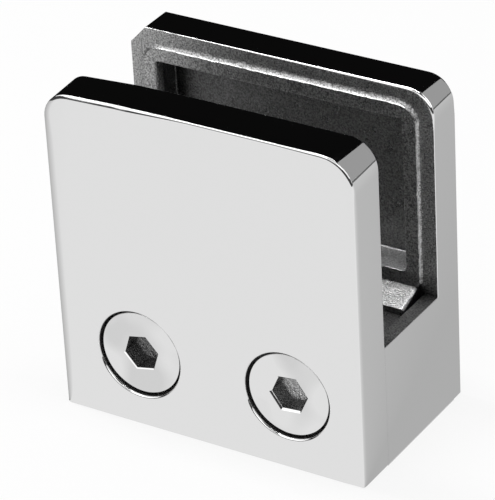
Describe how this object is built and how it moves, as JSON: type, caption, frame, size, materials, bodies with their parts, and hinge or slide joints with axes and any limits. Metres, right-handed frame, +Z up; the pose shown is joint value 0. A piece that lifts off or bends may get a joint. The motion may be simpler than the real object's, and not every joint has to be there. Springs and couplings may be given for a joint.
{
  "type": "glass panel clamp",
  "caption": "Square cast clamp with a bolted front plate and padded jaws that grip the edge of a glass panel.",
  "frame": {"origin": "middle of the flat underside", "axes": "+Z up out of the glass slot, +Y from the front plate towards the back jaw, +X across the jaws to the right seen from the front"},
  "size_m": [0.05, 0.0282, 0.0519],
  "materials": {
    "polished_casting": "mirror-polished cast stainless steel, left as cast inside the jaws",
    "screw_steel": "bright stainless steel"
  },
  "bodies": {
    "base": {"rear_body": "polished_casting"},
    "front_plate": {"front_plate": "polished_casting"},
    "left_clamp_screw": {"left_clamp_screw": "screw_steel"},
    "right_clamp_screw": {"right_clamp_screw": "screw_steel"}
  },
  "joints": [
    {"name": "front_plate_slide", "type": "slide", "parent": "base", "child": "front_plate", "axis": [0, -1, 0], "range_m": [0, 0.01]},
    {"name": "left_screw_turn", "type": "hinge", "parent": "front_plate", "child": "left_clamp_screw", "pos_m": [-0.0118, -0.0135, 0.0118], "axis": [0, -1, 0], "range_deg": [0, 2880]},
    {"name": "right_screw_turn", "type": "hinge", "parent": "front_plate", "child": "right_clamp_screw", "pos_m": [0.0128, -0.0135, 0.0118], "axis": [0, -1, 0], "range_deg": [0, 2880]}
  ],
  "couplings": [
    {"joint": "left_screw_turn", "follows": "front_plate_slide", "rad_per_m": 5026.5},
    {"joint": "right_screw_turn", "follows": "front_plate_slide", "rad_per_m": 5026.5}
  ]
}
